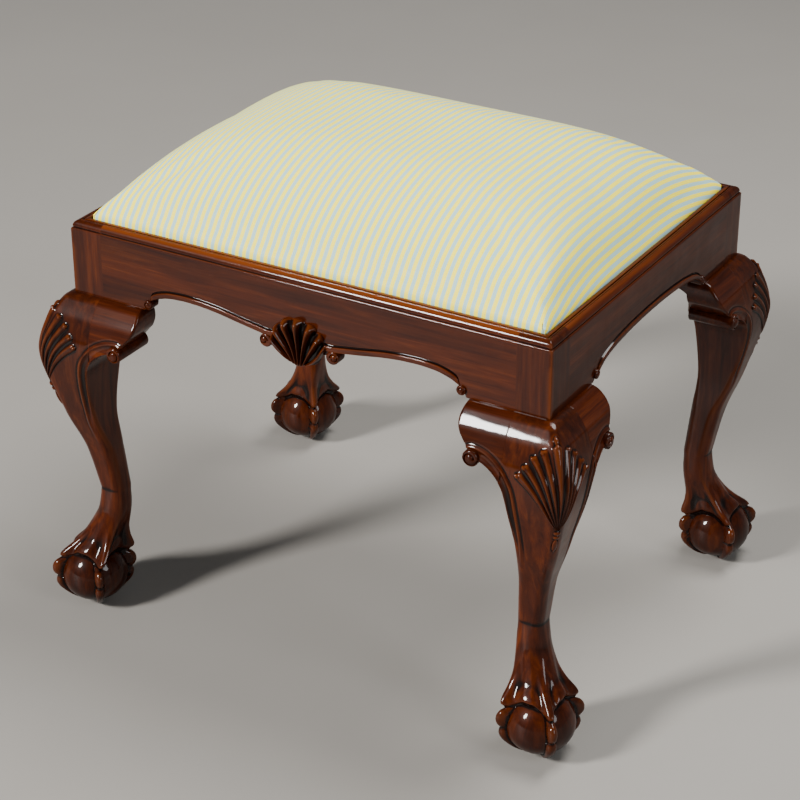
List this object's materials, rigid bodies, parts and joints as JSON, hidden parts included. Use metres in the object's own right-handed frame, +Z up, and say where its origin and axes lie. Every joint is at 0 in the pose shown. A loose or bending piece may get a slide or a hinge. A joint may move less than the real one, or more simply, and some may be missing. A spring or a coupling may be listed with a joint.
{
  "type": "upholstered bench",
  "caption": "Low rectangular bench with a crowned drop-in upholstered seat, shell-carved rails and knees, and cabriole legs on ball-and-claw feet.",
  "frame": {"origin": "on the floor under the middle of the bench", "axes": "+X along the long side to the right, the front faces -Y, +Z up"},
  "size_m": [0.622, 0.504, 0.5347],
  "materials": {
    "mahogany": "deep red-brown stain under gloss lacquer, darker in the carving",
    "softwood": "bare planed wood",
    "screw_steel": "zinc-plated screw",
    "jute": "woven webbing",
    "foam": "soft open-cell pad",
    "striped_satin": "satin with narrow pale gold and pale blue-grey stripes",
    "cambric": "black non-woven dust cloth"
  },
  "bodies": {
    "frame": {"leg_front_left": "mahogany", "leg_front_right": "mahogany", "leg_back_left": "mahogany", "leg_back_right": "mahogany", "rail_front": "mahogany", "rail_back": "mahogany", "rail_left": "mahogany", "rail_right": "mahogany", "shell_front": "mahogany", "shell_back": "mahogany", "knee_block_front_left_long": "mahogany", "knee_block_front_left_side": "mahogany", "knee_block_front_right_long": "mahogany", "knee_block_front_right_side": "mahogany", "knee_block_back_left_long": "mahogany", "knee_block_back_left_side": "mahogany", "knee_block_back_right_long": "mahogany", "knee_block_back_right_side": "mahogany", "corner_block_front_left": "softwood", "corner_block_front_right": "softwood", "corner_block_back_left": "softwood", "corner_block_back_right": "softwood", "corner_screw_front_left_lower": "screw_steel", "corner_screw_front_left_upper": "screw_steel", "corner_screw_front_right_lower": "screw_steel", "corner_screw_front_right_upper": "screw_steel", "corner_screw_back_left_lower": "screw_steel", "corner_screw_back_left_upper": "screw_steel", "corner_screw_back_right_lower": "screw_steel", "corner_screw_back_right_upper": "screw_steel"},
    "drop_in_seat": {"seat_frame_front": "softwood", "seat_frame_back": "softwood", "seat_frame_left": "softwood", "seat_frame_right": "softwood", "webbing_long_1": "jute", "webbing_long_2": "jute", "webbing_long_3": "jute", "webbing_cross_1": "jute", "webbing_cross_2": "jute", "webbing_cross_3": "jute", "webbing_cross_4": "jute", "foam_pad": "foam", "seat_cover": "striped_satin", "dust_cover": "cambric"}
  },
  "joints": [
    {"name": "seat_lift", "type": "slide", "parent": "frame", "child": "drop_in_seat", "axis": [0, 0, 1], "range_m": [0, 0.1]}
  ]
}
